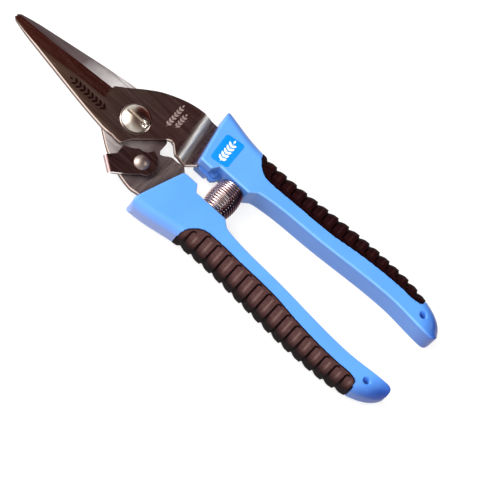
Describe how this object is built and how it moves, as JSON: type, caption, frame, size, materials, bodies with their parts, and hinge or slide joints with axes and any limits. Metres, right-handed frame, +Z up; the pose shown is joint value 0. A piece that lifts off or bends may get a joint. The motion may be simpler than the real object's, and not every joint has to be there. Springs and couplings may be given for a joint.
{
  "type": "floral snips",
  "caption": "Spring-opened floral snips with straight crossing blades on a slotted screw pivot, a thumb lock lever, a barrel return spring and soft-grip handles.",
  "frame": {"origin": "middle of the snips' box on the surface they lie on, shut", "axes": "+X from the blade tips to the handle ends, +Y towards the upper handle, +Z up, square to the blades"},
  "size_m": [0.1872, 0.0528, 0.012],
  "materials": {
    "blade_steel": "ground and polished stainless",
    "lever_steel": "stamped stainless",
    "polished_steel": "polished",
    "spring_steel": "bright wire",
    "handle_plastic": "satin moulded blue",
    "grip_rubber": "matt black-brown"
  },
  "bodies": {
    "lower": {"lower_blade": "blade_steel", "lower_handle": "handle_plastic", "lower_grip": "grip_rubber", "pivot_screw": "polished_steel", "pivot_washer": "polished_steel", "pivot_nut": "polished_steel", "lock_rivet": "polished_steel", "return_spring": "spring_steel"},
    "upper": {"upper_blade": "blade_steel", "upper_handle": "handle_plastic", "upper_grip": "grip_rubber"},
    "lock": {"lock_lever": "lever_steel"}
  },
  "joints": [
    {"name": "blade_pivot", "type": "hinge", "parent": "lower", "child": "upper", "pos_m": [-0.03745, 0.0004, 0.006], "axis": [0, 0, 1], "range_deg": [0, 24], "stiffness_Nm_per_rad": 1.3, "springref_deg": 40.11, "deforming": ["return_spring"]},
    {"name": "lock_turn", "type": "hinge", "parent": "lower", "child": "lock", "pos_m": [-0.02555, -0.0104, 0.007], "axis": [0, 0, 1], "range_deg": [0, 35]}
  ]
}
